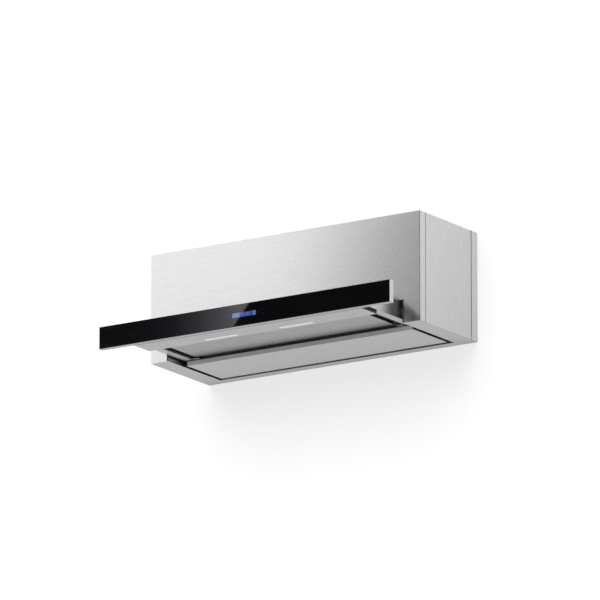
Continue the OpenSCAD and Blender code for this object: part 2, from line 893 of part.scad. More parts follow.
wheel_side = 6;         // gap between the wheel and the housing's sides
scroll_in = wheel_w / 2 + wheel_side;
scroll_out = scroll_in + scroll_t;
tongue_a = 65;          // angle of the tongue above the horizontal
spiral_steps = 40;
gland_back = 46;        // distance of the cable gland from the back panel
gland_y = y_in - gland_back;

// Growth of the scroll's radius from the tongue to an angle
function growth(a) = scroll_growth * (a - tongue_a) / (360 - tongue_a);

// The housing fills the height between the filters and the top panel, which sets its radius
z_scroll = z_filter + filter_h + blower_under;
z_scroll_top = z_in - blower_over;
scroll_r0 = (z_scroll_top - z_scroll - growth(90) - growth(270)) / 2 - scroll_t;
wheel_r = scroll_r0 - tongue_gap;
z_c = z_scroll + scroll_t + scroll_r0 + growth(270);

// The shaft's place along the depth, from the housing's reach in front of it and behind it
y_c = (y_f + growth(180) - growth(360)) / 2 - blower_ahead;
mouth_play = 3.8;       // gap between the outlet's edge and the scroll's mouth
mouth_half = duct_in - stop_w + mouth_play;
mouth_a = outlet_y - mouth_half;
mouth_b = outlet_y + mouth_half;

// A point of the scroll's curve, pushed out by a wall thickness
function scroll_point(k, out) =
    let (a = tongue_a + k / spiral_steps * (360 - tongue_a), r = scroll_r0 + growth(a) + out)
    [y_c + r * cos(a), z_c + r * sin(a)];

// The scroll's whole outline, from the mouth's front edge round to its rear edge. The outer
// face skips the tongue's first steps, where the wall turns back on itself.
function scroll_line(out) = concat(
    [[mouth_a - out, z_in]],
    [for (k = [(out > 0 ? 2 : 0) : spiral_steps]) scroll_point(k, out)],
    [[mouth_b + out, z_in]]);

// Turns an outline in the YZ plane into a plate between x_a and x_b
module yz_plate(x_a, x_b) {
    translate([x_a, 0, 0]) rotate([90, 0, 90]) linear_extrude(x_b - x_a) children();
}

// Spiral wall of the blower housing, open at its mouth under the outlet
module scroll_wrap() {
    outer = scroll_line(scroll_t);
    n = len(outer) - 1;
    color(zinc) yz_plate(-scroll_in, scroll_in)
        polygon(concat(scroll_line(0), [for (k = [0 : n]) outer[n - k]]));
}

inlet_lap = 3;          // how much smaller the inlet is than the ring of blades
inlet_r = wheel_r - blade_d - inlet_lap;
inlet_l = 5;            // length of the inlet's turned-in lip
foot_w = 14;            // width of the feet under the top panel

// Right side of the housing, with its inlet lip and its foot under the top panel
module scroll_side_right() {
    color(zinc) difference() {
        union() {
            yz_plate(scroll_in, scroll_out) polygon(scroll_line(scroll_t));
            rod_x(scroll_in - inlet_l, scroll_out, y_c, z_c, inlet_r + scroll_t, round_fn);
            block([scroll_in, mouth_a, z_in - scroll_t], [scroll_out + foot_w, mouth_b, z_in]);
        }
        rod_x(scroll_in - inlet_l - past, scroll_out + past, y_c, z_c, inlet_r, round_fn);
    }
}

module scroll_side_left() {
    mirror([1, 0, 0]) scroll_side_right();
}

hub_x = 12;             // place of the wheel's centre disc
hub_t = 2;
hub_r = 12;
hub_l = 18;
rim_in = 1;             // how far the blades stand back from the rims' edge
shaft_grip = 0.02;      // radial clearance between the shaft and the hub
shaft_l = 24;           // length of the shaft inside the motor
shaft_out = 2;          // how far the shaft stands out of the hub
blade_t = 1.2;
blade_lean = 34;        // angle that a blade turns forward from its root to its tip
blade_steps = 4;

// A point on a blade's curved face, k steps out from its root
function blade_point(k, side) =
    let (f = k / blade_steps, r = wheel_r - rim_in - blade_d * (1 - f),
         a = blade_lean * f * f * 0.5 + side * blade_t / r * 90 / PI)
    [r * cos(a), r * sin(a)];

// Cross-section of one forward-curved blade
module blade_shape() {
    polygon(concat([for (k = [0 : blade_steps]) blade_point(k, -1)],
                   [for (k = [blade_steps : -1 : 0]) blade_point(k, 1)]));
}

// Blower wheel: curved blades between two rims, on a centre disc with its hub
module impeller() {
    half = wheel_w / 2;
    color([0.30, 0.31, 0.33]) translate([0, y_c, z_c]) rotate([90, 0, 90]) difference() {
        union() {
            translate([0, 0, -half]) linear_extrude(wheel_w) {
                for (k = [0 : blades - 1]) rotate(k * 360 / blades) blade_shape();
            }
            for (x = [-half, half - hub_t]) translate([0, 0, x]) difference() {
                cylinder(h = hub_t, r = wheel_r, $fn = round_fn);
                translate([0, 0, -past])
                    cylinder(h = hub_t + 2 * past, r = wheel_r - blade_d / 2, $fn = round_fn);
            }
            translate([0, 0, hub_x]) cylinder(h = hub_t, r = wheel_r - rim_in / 2, $fn = round_fn);
            translate([0, 0, hub_x]) cylinder(h = hub_l, r = hub_r, $fn = small_fn);
        }
        translate([0, 0, hub_x - past])
            cylinder(h = hub_l + 2 * past, r = shaft_r + shaft_grip, $fn = small_fn);
    }
}

bracket_t = 3;
motor_back = scroll_out + bracket_t;    // rear end of the motor, in the bracket's ring
boss_l = 8;             // length of the motor's front boss
boss_gap = 4;           // gap between that boss and the wheel's centre disc
slot_w = 8;             // width of the motor's cooling slots
slot_deep = 3;
slot_end = 12;          // distance of a cooling slot from the motor's ends

module motor_shaft() {
    color(alu) rod_x(hub_x - shaft_l, hub_x + hub_l + shaft_out, y_c, z_c, shaft_r);
}

// Motor with its bearing bosses and cooling slots
module motor() {
    x_b = hub_x - boss_gap;
    x_a = x_b - boss_l;
    color([0.55, 0.56, 0.58]) difference() {
        union() {
            rod_x(-motor_back, x_a, y_c, z_c, motor_r, round_fn);
            rod_x(x_a, x_b, y_c, z_c, motor_r * 0.45, small_fn);
        }
        rod_x(hub_x - shaft_l - fit_clear, x_b + past, y_c, z_c, shaft_r + run_clear);
        for (k = [0 : 7]) translate([0, y_c, z_c]) rotate([k * 45, 0, 0]) {
            block([slot_end - motor_back, motor_r - slot_deep, -slot_w / 2],
                  [x_a - slot_end, motor_r + past, slot_w / 2]);
        }
    }
}

arm_w = 14;
arm_lap = 9;            // how far the bracket's arms reach over the housing
ring_w = 4;             // width of the bracket's ring round the motor

// Three-armed bracket that carries the motor in the left inlet
module motor_bracket() {
    r_out = inlet_r + arm_lap;
    color(zinc) difference() {
        union() {
            rod_x(-motor_back, -scroll_out, y_c, z_c, motor_r + ring_w, round_fn);
            for (k = [0 : 2]) translate([0, y_c, z_c]) rotate([90 + k * 120, 0, 0]) {
                block([-motor_back, 0, -arm_w / 2], [-scroll_out, r_out, arm_w / 2]);
            }
        }
        rod_x(-motor_back - past, -scroll_out + past, y_c, z_c, motor_r + run_clear, round_fn);
    }
}

// Screws that hold the bracket's arms to the housing
module blower_screws() {
    color(alu) for (k = [0 : 2]) translate([0, y_c, z_c]) rotate([90 + k * 120, 0, 0]) {
        rod_x(-motor_back - screw_head_t, -motor_back, inlet_r + arm_lap / 2, 0, screw_head_r);
    }
}

// ---------- Outlet ----------

flap_play = 1;          // gap between the flaps' edge and the collar
flap_r = duct_in - flap_play;
collar_base_t = 1.6;
flap_axis = 8;          // height of the flaps' pin above the top panel
z_flap = z_top + flap_axis;
flap_pin_r = 1.5;
flap_pin_in = 0.2;      // how far the pin's ends stand back from the collar's outside
knuckle_r = 2.6;

// Round collar for the duct, with its base, the flaps' ledge and the pin's holes
module duct_collar() {
    color(dark) translate([0, outlet_y, 0]) difference() {
        union() {
            rod_z(z_top, z_top + duct_h, 0, 0, duct_r, round_fn);
            rod_z(z_top, z_top + collar_base_t, 0, 0, duct_r + collar_rim, round_fn);
        }
        rod_z(z_flap - flap_t / 2 - fit_clear, z_top + duct_h + past, 0, 0, duct_in, round_fn);
        rod_z(z_top - past, z_top + duct_h, 0, 0, duct_in - stop_w, round_fn);
        rod_x(-duct_r - past, duct_r + past, 0, z_flap, flap_pin_r + run_clear);
    }
}

module flap_pin() {
    color(alu) rod_x(flap_pin_in - duct_r, duct_r - flap_pin_in, outlet_y, z_flap, flap_pin_r);
}

knuckle_l = 15.4;       // length of one knuckle
front_knuckles = [-40, 8];
rear_knuckles = [-24, 24];

// Half of a round flap, joined to its knuckles by short webs beside the other flap's knuckles
module flap_half(knuckles) {
    edge = knuckle_r + fit_clear;
    difference() {
        union() {
            translate([0, 0, -flap_t / 2]) linear_extrude(flap_t) intersection() {
                circle(r = flap_r, $fn = round_fn);
                translate([-flap_r, edge]) square([2 * flap_r, flap_r]);
            }
            for (x = knuckles) {
                rod_x(x, x + knuckle_l, 0, 0, knuckle_r);
                block([x, 0, -flap_t / 2], [x + knuckle_l, edge + 1, flap_t / 2]);
            }
        }
        rod_x(-flap_r - past, flap_r + past, 0, 0, flap_pin_r + run_clear);
    }
}

module flap_rear() {
    color(white) translate([0, outlet_y, z_flap]) flap_half(rear_knuckles);
}

module flap_front() {
    color(white) translate([0, outlet_y, z_flap]) mirror([0, 1, 0]) flap_half(front_knuckles);
}

// ---------- Electrics ----------

box_w = 100;
box_d = 76;
box_h = 40;
box_t = 2;
box_back = 8;           // distance of the box from the back panel
box_x = gland_x - box_w / 2;
box_y = y_in - box_back - box_d;
terminal_d = 16;
terminal_h = 16;

// Junction box under the top panel, with its terminal block
module junction_box() {
    color(dark) {
        difference() {
            block([box_x, box_y, z_in - box_h], [box_x + box_w, box_y + box_d, z_in]);
            block([box_x + box_t, box_y + box_t, z_in - box_h - past],
                  [box_x + box_w - box_t, box_y + box_d - box_t, z_in + past]);
        }
        block([box_x + box_t, box_y + box_t, z_in - terminal_h],
              [box_x + box_w - box_t, box_y + box_t + terminal_d, z_in]);
    }
}

// Lid that closes the junction box from below
module junction_lid() {
    z = z_in - box_h;
    color(dark) block([box_x, box_y, z - box_t], [box_x + box_w, box_y + box_d, z]);
}

capacitor_r = 17;
capacitor_h = 62;
capacitor_side = 70;    // distance of the capacitor's axis from the blower housing
capacitor_front = 60;   // distance of its axis from the front panel
capacitor_rim = 2;
capacitor_base = 4;

// Motor capacitor, hung from the top panel
module capacitor() {
    x = -scroll_out - capacitor_side;
    y = y_f + capacitor_front;
    z = z_in - capacitor_base;
    color(white) {
        rod_z(z_in - capacitor_h, z, x, y, capacitor_r, round_fn);
        rod_z(z, z_in, x, y, capacitor_r + capacitor_rim, small_fn);
    }
}

driver_w = 120;
driver_d = 44;
driver_h = 24;
driver_in = 10;         // how far the power supply lies behind the junction box's front face
driver_tab_l = 10;      // length of the fixing tabs at its ends
driver_tab_w = 20;
driver_tab_t = 2;

// Power supply of the lights, fixed under the top panel by the tabs at its ends
module light_driver() {
    x_a = -gland_x - driver_w / 2;
    x_b = x_a + driver_w;
    y = box_y + driver_in;
    y_tab = y + (driver_d - driver_tab_w) / 2;
    z = z_in - driver_tab_t;
    color(white) {
        block([x_a, y, z - driver_h], [x_b, y + driver_d, z]);
        block([x_a - driver_tab_l, y_tab, z], [x_b + driver_tab_l, y_tab + driver_tab_w, z_in]);
    }
}

gland_nut_h = 5;
gland_nut_w = 4;        // how far the gland's nuts reach past its thread
gland_tail = 2;         // length of the thread below the lock nut
gland_hex_h = 6;
gland_cap_w = 1.5;
gland_head_h = 13;

// Cable gland in the top panel, with its lock nut below
module cable_gland() {
    z_end = z_in - gland_nut_h - gland_tail;
    color(dark) translate([gland_x, gland_y, 0]) difference() {
        union() {
            rod_z(z_end, z_top, 0, 0, gland_r);
            rod_z(z_in - gland_nut_h, z_in, 0, 0, gland_r + gland_nut_w, 6);
            rod_z(z_top, z_top + gland_hex_h, 0, 0, gland_r + gland_nut_w, 6);
            rod_z(z_top + gland_hex_h, z_top + gland_head_h, 0, 0, gland_r + gland_cap_w);
        }
        rod_z(z_end - past, z_top + gland_head_h + past, 0, 0, cable_d / 2);
    }
}

top_screw_in = 24;      // distance of the outer top screws from the side folds
y_screw_a = y_f + front_wrap + top_screw_in;
y_screw_b = -back_wrap - top_screw_in;
top_screw_places = [
    for (x = [-1, 1], k = [0 : 2])
        [x * (shell_x - flange_w / 2), y_screw_a + k * (y_screw_b - y_screw_a) / 2]
];

// Screws through the top panel into the side panels' flanges
module top_screws() {
    color(alu) for (p = top_screw_places) {
        rod_z(z_top, z_top + screw_head_t, p[0], p[1], screw_head_r);
        rod_z(z_in - screw_l, z_top, p[0], p[1], screw_r);
    }
}

front_panel();
side_panel_left();
side_panel_right();
top_panel();
back_panel();
bottom_frame();
filter_deck();
filter_left();
filter_right();
filter_latch_left();
filter_latch_right();
body_panel();
body_panel_pins();
panel_catches();
rail_left();
rail_right();
roller_left_front();
roller_left_rear();
roller_right_front();
roller_right_rear();
roller_pins();
tray();
tray_cover();
light_panel();
light_left();
light_right();
light_boards();
front_profile();
end_cap_left();
end_cap_right();
glass_panel();
display();
control_board();
drawer_panel();
drawer_panel_pins();
drawer_catches();
drawer_filter();
bar_screws();
bar_bumpers();
switch_body();
switch_plunger();
scroll_wrap();
scroll_side_left();
scroll_side_right();
impeller();
motor_shaft();
motor();
motor_bracket();
blower_screws();
duct_collar();
flap_front();
flap_rear();
flap_pin();
junction_box();
junction_lid();
capacitor();
light_driver();
cable_gland();
top_screws();
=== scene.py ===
"""Pull out range hood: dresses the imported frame, lights it and sets the camera."""
import math
import bmesh
import bpy
from mathutils import Matrix, Vector


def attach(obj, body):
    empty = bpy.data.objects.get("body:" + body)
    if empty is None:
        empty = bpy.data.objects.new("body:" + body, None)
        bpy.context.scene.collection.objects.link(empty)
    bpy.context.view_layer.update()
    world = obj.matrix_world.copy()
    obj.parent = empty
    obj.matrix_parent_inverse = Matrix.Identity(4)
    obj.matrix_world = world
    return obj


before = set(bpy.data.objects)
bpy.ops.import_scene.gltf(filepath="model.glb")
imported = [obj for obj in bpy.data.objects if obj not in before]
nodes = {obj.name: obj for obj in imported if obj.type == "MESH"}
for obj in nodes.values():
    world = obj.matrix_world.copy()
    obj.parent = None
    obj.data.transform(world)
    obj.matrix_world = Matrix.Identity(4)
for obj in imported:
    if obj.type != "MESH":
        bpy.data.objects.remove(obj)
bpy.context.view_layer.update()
scene = bpy.context.scene
scene.view_settings.view_transform = "Standard"

MM = 0.001
BODY_D, BODY_BOTTOM = 274.0, -200.0     # depth of the body and its underside, mm
GLASS_Y = -466.0                        # front face of the glass, mm
BLACK, WHITE = (0.0, 0.0, 0.0, 1.0), (1.0, 1.0, 1.0, 1.0)


# ---------------------------------------------------------------- camera
AZ, EL = math.radians(33.35322), math.radians(-14.56517)
PX_PER_MM, FOCAL_PX = 0.38705, 12000.0
SHIFT_X, SHIFT_Y = -39.98917, -108.97659
PICTURE_PX, SENSOR = 600.0, 36.0


def toward(azimuth, elevation):
    """The direction from the object to a viewer or a lamp."""
    return Vector((math.sin(azimuth) * math.cos(elevation),
                   -math.cos(azimuth) * math.cos(elevation), math.sin(elevation)))


back = toward(AZ, EL)
right = Vector((math.cos(AZ), math.sin(AZ), 0.0))
up = back.cross(right)
eye = back * (FOCAL_PX / PX_PER_MM) - right * SHIFT_X - up * SHIFT_Y
eye = (eye + Vector((0.0, -BODY_D, BODY_BOTTOM))) * MM

camera = bpy.data.objects.new("camera", bpy.data.cameras.new("camera"))
scene.collection.objects.link(camera)
camera.data.sensor_width = SENSOR
camera.data.lens = SENSOR * FOCAL_PX / PICTURE_PX
camera.data.clip_start, camera.data.clip_end = 0.5, 120.0
turn = Matrix((right, up, back)).transposed().to_4x4()
camera.matrix_world = Matrix.Translation(eye) @ turn
scene.camera = camera


def seen_in(point, plane_y):
    """Where a flat face turned to the front shows a plane at plane_y: (x, z) in metres."""
    p = Vector(point) * MM
    ray = (p - eye).normalized()
    ray.y = -ray.y
    hit = p + ray * ((plane_y - p.y) / ray.y)
    return hit.x, hit.z


# ---------------------------------------------------------------- node helpers
def put(tree, kind, inputs=None, **props):
    """Add a shader node; inputs are values or sockets, props are its settings."""
    made = tree.nodes.new("ShaderNode" + kind)
    for key, value in props.items():
        setattr(made, key, value)
    for key, value in (inputs or {}).items():
        if isinstance(value, bpy.types.NodeSocket):
            tree.links.new(value, made.inputs[key])
        else:
            made.inputs[key].default_value = value
    return made


def calc(tree, kind, a, b=0.0, c=None, clamp=False):
    """One sum; a, b and c are numbers or sockets."""
    values = {0: a, 1: b}
    if c is not None:
        values[2] = c
    return put(tree, "Math", values, operation=kind, use_clamp=clamp).outputs[0]


def swing(tree, value, width, middle, clamp=False):
    """A value that runs from 0 to 1, turned into a spread of width about middle."""
    return calc(tree, "MULTIPLY_ADD", calc(tree, "SUBTRACT", value, 0.5), width, middle, clamp)


def share(tree, value, low, high, clamp=True):
    """How far a value has come on its way from low to high."""
    return calc(tree, "DIVIDE", calc(tree, "SUBTRACT", value, low), high - low, clamp=clamp)


def pick(tree, factor, a, b):
    """Blend two numbers."""
    return put(tree, "Mix", {0: factor, 2: a, 3: b}).outputs[0]


def tone(tree, factor, a, b):
    """Blend two colours."""
    return put(tree, "Mix", {0: factor, 6: (*a, 1.0), 7: (*b, 1.0)}, data_type="RGBA").outputs[2]


def darken(tree, colour, factor):
    """A colour scaled by a number."""
    return put(tree, "Mix", {0: factor, 6: BLACK, 7: colour}, data_type="RGBA").outputs[2]


def colour_ramp(tree, factor, stops):
    """A ramp through (position, colour) stops."""
    made = put(tree, "ValToRGB", {0: factor})
    band = made.color_ramp
    while len(band.elements) < len(stops):
        band.elements.new(0.5)
    for element, (place, colour) in zip(band.elements, stops):
        element.position = place
        element.color = (*colour, 1.0)
    return made.outputs[0]


def ramp(tree, factor, stops):
    """A grey ramp through (position, value) stops."""
    return colour_ramp(tree, factor, [(place, (value,) * 3) for place, value in stops])


def object_place(tree):
    """Coordinates on the object, in metres."""
    return put(tree, "TexCoord").outputs["Object"]


def split(tree, vector):
    """The three parts of a vector."""
    return put(tree, "SeparateXYZ", {0: vector}).outputs


def grain(tree, vector, scale, detail, rough=0.5):
    """Noise between 0 and 1."""
    return put(tree, "TexNoise", {"Vector": vector, "Scale": scale, "Detail": detail,
                                  "Roughness": rough}).outputs[0]


def stretched(tree, vector, scale):
    """Coordinates scaled by a number for each axis."""
    return put(tree, "Mapping", {"Vector": vector, "Scale": scale}).outputs[0]


def bump(tree, shader, height, strength, distance):
    """Fine relief from a height between 0 and 1; distance is in metres."""
    made = put(tree, "Bump", {"Height": height, "Strength": strength, "Distance": distance})
    tree.links.new(made.outputs[0], shader.inputs["Normal"])


def dress(tree, shader, skin, rough):
    """Link a material's colour and roughness."""
    tree.links.new(skin, shader.inputs["Base Color"])
    tree.links.new(rough, shader.inputs["Roughness"])


def brush_across(tree, shader, y, z):
    """Stretch the gloss along (0, y, z), across the strokes."""
    across = put(tree, "CombineXYZ", {0: 0.0, 1: y, 2: z}).outputs[0]
    turned = put(tree, "VectorTransform", {0: across}, vector_type="VECTOR",
                 convert_from="OBJECT", convert_to="WORLD").outputs[0]
    tree.links.new(turned, shader.inputs["Tangent"])


def emission(tree, level, tint=WHITE):
    """Light of a level that is a number or a socket."""
    return put(tree, "Emission", {0: tint, 1: level}).outputs[0]


def material(name, colour, roughness, metallic=0.0, **sockets):
    """A Principled material; sockets are further inputs, with _ for a space."""
    made = bpy.data.materials.new(name)
    made.use_nodes = True
    tree = made.node_tree
    shader = tree.nodes["Principled BSDF"]
    shader.inputs["Base Color"].default_value = (*colour, 1.0)
    shader.inputs["Roughness"].default_value = roughness
    shader.inputs["Metallic"].default_value = metallic
    for key, value in sockets.items():
        shader.inputs[key.replace("_", " ")].default_value = value
    made.diffuse_color = (*colour, 1.0)
    return made, tree, shader


def shade(colour, factor):
    """A colour made lighter or darker."""
    return tuple(c * factor for c in colour)


# ---------------------------------------------------------------- materials
STEEL = (0.71, 0.71, 0.71)
STEEL_ROUGH, STEEL_SPREAD = 0.28, 0.14  # roughness, and how far the hairs vary it
TURNED = 0.7                            # part of a normal past which a face is turned that way
CORNER_SHADE_REACH = 0.03                    # how near walls must be for the painted corner shade, m
# Contrast of the painted corner shade.
CORNER_SHADE_GAIN, CORNER_SHADE_OFFSET = 2.2, -0.85

# The painted shade and light on the tray's outer walls: gain and offset that turn Y from -372
# to -272 mm into 0 to 1, and its tones on the way, darker in the middle and lighter at both ends.
WALL_RUN = (10.0, 3.72)
WALL_TONES = [(0.0, 1.15), (0.25, 0.96), (0.44, 0.78), (0.56, 0.62), (0.72, 0.7),
              (0.86, 1.05), (1.0, 1.3)]

# The drawer's painted shadow on the front face lies past SHADOW_X, under a slanted soft edge.
# SHADOW_RUN turns X from 374.5 to 392.7 mm into 0 to 1, along which it deepens.
SHADOW_X, SHADOW_SLOPE, SHADOW_SHARPNESS = 0.36, 0.866, 60.0
SHADOW_RUN = (55.0, -20.6)
SHADOW_NEAR, SHADOW_FAR = 0.95, 0.48
FRONT_FACING = -0.5

# Tones of the painted shade that dims a part towards the rear.
FADE_SHADE_TONES = [(0.0, 1.0), (0.4, 0.9), (0.75, 0.62), (1.0, 0.3)]
# Tone of the painted dark line at the front face's crease, and how far a face must turn to the
# front for it.
FOLD_SHADE_TONE, FOLD_FACING = 0.3, 0.2


def painted_corner_shade(tree, low):
    """Painted shade: grey that falls to low in slots and corners."""
    open_sky = put(tree, "AmbientOcclusion", {"Distance": CORNER_SHADE_REACH}, samples=6).outputs["AO"]
    eased = calc(tree, "MULTIPLY_ADD", open_sky, CORNER_SHADE_GAIN, CORNER_SHADE_OFFSET, clamp=True)
    return calc(tree, "MAXIMUM", eased, low)


def painted_wall_shade(tree, at, side, corner_shade, wall):
    """The painted corner shade, with painted shade and light along Y on the outer walls past X =
    wall in mm.
    """
    outer = calc(tree, "GREATER_THAN", calc(tree, "ABSOLUTE", at[0]), wall * MM)
    run = calc(tree, "MULTIPLY_ADD", at[1], *WALL_RUN, clamp=True)
    dim = ramp(tree, run, WALL_TONES)
    return pick(tree, calc(tree, "MULTIPLY", outer, side), corner_shade, dim)


def painted_drawer_shadow(tree, at, facing, x, z):
    """The drawer's painted shadow, whose slanted upper edge goes through (x, z) in mm."""
    edge = calc(tree, "MULTIPLY_ADD", calc(tree, "SUBTRACT", at[0], x * MM), SHADOW_SLOPE, at[2])
    lit = calc(tree, "MULTIPLY_ADD", calc(tree, "SUBTRACT", edge, z * MM), SHADOW_SHARPNESS, 0.5,
               clamp=True)
    away = calc(tree, "MULTIPLY_ADD", at[0], *SHADOW_RUN, clamp=True)
    past = calc(tree, "MULTIPLY", calc(tree, "GREATER_THAN", at[0], SHADOW_X),
                calc(tree, "GREATER_THAN", FRONT_FACING, facing[1]))
    deep = pick(tree, away, SHADOW_NEAR, SHADOW_FAR)
    return pick(tree, past, 1.0, pick(tree, lit, deep, 1.0))


def painted_fold_shade(tree, at, facing, fold):
    """Painted shade: dark where the front face is creased, past X = fold in mm."""
    past = calc(tree, "GREATER_THAN", at[0], fold * MM)
    fronted = calc(tree, "GREATER_THAN", calc(tree, "ABSOLUTE", facing[1]), FOLD_FACING)
    past = calc(tree, "MULTIPLY", past, fronted)
    return pick(tree, past, 1.0, FOLD_SHADE_TONE)


def brushed(name, colour=STEEL, streak=0.075, low=0.07, fade=None, fold=None, wall=None,
            shade_from=None):
    """Sheet brushed along X, and upright on the faces turned to the sides.

    low is the least tone of the painted shade in its corners. fade names the two Y in mm
    between which painted shade makes it dim.
    fold is the X in mm past which the front face has a painted dark line at its crease.
    wall is the X in mm past which the faces turned to the sides get painted shade and light along
    Y.
    shade_from is a point (x, z) in mm on the edge of the drawer's painted shadow on the front
    face.
    The last four are painted shade and light on the part, and stay on it when it or its
    neighbour moves.
    """
    made, tree, shader = material(name, colour, STEEL_ROUGH, 1.0, Anisotropic=0.72)
    place = put(tree, "TexCoord")
    at = split(tree, place.outputs["Object"])
    facing = split(tree, place.outputs["Normal"])
    level = calc(tree, "GREATER_THAN", calc(tree, "ABSOLUTE", facing[2]), TURNED)
    side = calc(tree, "GREATER_THAN", calc(tree, "ABSOLUTE", facing[0]), TURNED)
    along = pick(tree, side, at[0], at[2])
    across = pick(tree, calc(tree, "MAXIMUM", level, side), at[2], at[1])
    flat = put(tree, "CombineXYZ", {0: along, 1: across, 2: side}).outputs[0]
    strokes = grain(tree, stretched(tree, flat, (15.0, 340.0, 5.0)), 1.0, 3.0, 0.6)
    hairs = grain(tree, stretched(tree, flat, (70.0, 2400.0, 5.0)), 1.0, 2.0)
    clouds = grain(tree, stretched(tree, flat, (3.0, 9.0, 2.0)), 1.0, 2.0)
    mark = pick(tree, 0.15, swing(tree, strokes, 2.6, 0.5, clamp=True), hairs)
    skin = tone(tree, mark, shade(colour, 1.0 - streak), shade(colour, 1.0 + streak))
    # Painted shade in slots and corners, from ambient occlusion.
    corner_shade = painted_corner_shade(tree, low)
    if wall:
        corner_shade = painted_wall_shade(tree, at, side, corner_shade, wall)
    skin = darken(tree, skin, corner_shade)
    if shade_from:
        skin = darken(tree, skin, painted_drawer_shadow(tree, at, facing, *shade_from))
    if fade:
        run = share(tree, at[1], fade[0] * MM, fade[1] * MM)
        skin = darken(tree, skin, ramp(tree, run, FADE_SHADE_TONES))
    if fold:
        skin = darken(tree, skin, painted_fold_shade(tree, at, facing, fold))
    rough = swing(tree, hairs, STEEL_SPREAD, STEEL_ROUGH)
    dress(tree, shader, skin, swing(tree, clouds, 0.05, rough))
    bump(tree, shader, hairs, 0.06, 0.00008)
    brush_across(tree, shader, pick(tree, side, 0.01, 1.0), pick(tree, side, 1.0, 0.01))
    return made


def galvanised(name, colour):
    """Zinc coated sheet with its frost of crystals."""
    made, tree, shader = material(name, colour, 0.42, 1.0)
    place = object_place(tree)
    cells = put(tree, "TexVoronoi", {"Vector": place, "Scale": 95.0, "Randomness": 1.0})
    level = put(tree, "SeparateColor", {0: cells.outputs["Color"]}).outputs[0]
    fine = grain(tree, place, 700.0, 3.0)
    level = pick(tree, 0.3, level, fine)
    dress(tree, shader, tone(tree, level, shade(colour, 0.9), shade(colour, 1.08)),
          pick(tree, level, 0.36, 0.5))
    bump(tree, shader, fine, 0.05, 0.0002)
    return made


def extruded(name, colour):
    """Satin anodised profile with faint draw lines along X."""
    rough = 0.3
    made, tree, shader = material(name, colour, rough, 1.0, Anisotropic=0.45)
    place = object_place(tree)
    lines = grain(tree, stretched(tree, place, (4.0, 1500.0, 1500.0)), 1.0, 2.0)
    frost = grain(tree, place, 2600.0, 2.0)
    mix = pick(tree, 0.4, lines, frost)
    dress(tree, shader, tone(tree, mix, shade(colour, 0.95), shade(colour, 1.05)),
          swing(tree, mix, 0.12, rough))
    bump(tree, shader, frost, 0.05, 0.0001)
    brush_across(tree, shader, 0.6, 0.8)
    return made


def moulded(name, colour, roughness, spark=1500.0, depth=0.12):
    """Moulded plastic with a spark eroded skin and slight flow marks."""
    made, tree, shader = material(name, colour, roughness)
    place = object_place(tree)
    fine = grain(tree, place, spark, 3.0)
    flow = grain(tree, place, 35.0, 2.0)
    dress(tree, shader, tone(tree, flow, shade(colour, 0.9), shade(colour, 1.1)),
          swing(tree, flow, 0.14, roughness))
    bump(tree, shader, fine, depth, 0.0002)
    return made


def polished_glass(name):
    """Black glass with a faint haze of wiped marks."""
    made, tree, shader = material(name, (0.0022, 0.0022, 0.0026), 0.03, IOR=1.5)
    place = object_place(tree)
    haze = grain(tree, stretched(tree, place, (14.0, 14.0, 40.0)), 1.0, 4.0)
    haze = calc(tree, "MULTIPLY_ADD", calc(tree, "SUBTRACT", haze, 0.55), 0.2, 0.0, clamp=True)
    rough = calc(tree, "ADD", haze, 0.022)
    dress(tree, shader, tone(tree, haze, (0.002, 0.002, 0.0024), (0.02, 0.02, 0.022)), rough)
    return made


def strand_mesh(name, colour):
    """Expanded aluminium: bright strands, with painted shade in the hollows between them."""
    made, tree, shader = material(name, colour, 0.36, 1.0)
    place = object_place(tree)
    cells = put(tree, "TexVoronoi", {"Vector": stretched(tree, place, (210.0, 420.0, 420.0)),
                                     "Scale": 1.0, "Randomness": 0.25},
                feature="DISTANCE_TO_EDGE").outputs[0]
    strand = calc(tree, "MULTIPLY", cells, 3.2, clamp=True)
    fine = grain(tree, place, 900.0, 2.0)
    dress(tree, shader, tone(tree, strand, shade(colour, 1.06), shade(colour, 0.42)),
          pick(tree, fine, 0.28, 0.46))
    bump(tree, shader, calc(tree, "SUBTRACT", 1.0, strand), 0.5, 0.0005)
    return made


def circuit(name):
    """Solder mask with copper tracks under it."""
    made, tree, shader = material(name, (0.02, 0.1, 0.045), 0.34, IOR=1.5)
    place = object_place(tree)
    tracks = put(tree, "TexBrick", {"Vector": place, "Scale": 210.0, "Mortar Size": 0.035,
                                    "Brick Width": 0.9, "Row Height": 0.32},
                 offset=0.37).outputs[1]
    fine = grain(tree, place, 1200.0, 2.0)
    dress(tree, shader, tone(tree, tracks, (0.016, 0.085, 0.038), (0.11, 0.2, 0.05)),
          pick(tree, fine, 0.28, 0.42))
    bump(tree, shader, tracks, 0.2, 0.00004)
    return made


def laminated(name, colour):
    """Stacked motor plates with a thin coat of varnish."""
    made, tree, shader = material(name, colour, 0.4, 0.85, Coat_Weight=0.25, Coat_Roughness=0.2)
    place = object_place(tree)
    plates = put(tree, "TexWave", {"Vector": place, "Scale": 300.0, "Distortion": 0.6},
                 bands_direction="X").outputs[1]
    fine = grain(tree, place, 400.0, 3.0)
    mix = pick(tree, 0.5, plates, fine)
    dress(tree, shader, tone(tree, mix, shade(colour, 0.72), shade(colour, 1.2)),
          pick(tree, fine, 0.32, 0.5))
    bump(tree, shader, plates, 0.25, 0.0002)
    return made


def plated(name, colour):
    """Blue-white zinc plating of small turned parts."""
    made, tree, shader = material(name, colour, 0.3, 1.0)
    place = object_place(tree)
    fine = grain(tree, place, 1400.0, 3.0)
    patch = grain(tree, place, 160.0, 2.0)
    bluish = (colour[0] * 1.06, colour[1] * 1.08, colour[2] * 1.16)
    dress(tree, shader, tone(tree, patch, shade(colour, 0.86), bluish),
          pick(tree, fine, 0.2, 0.42))
    bump(tree, shader, fine, 0.08, 0.0001)
    return made


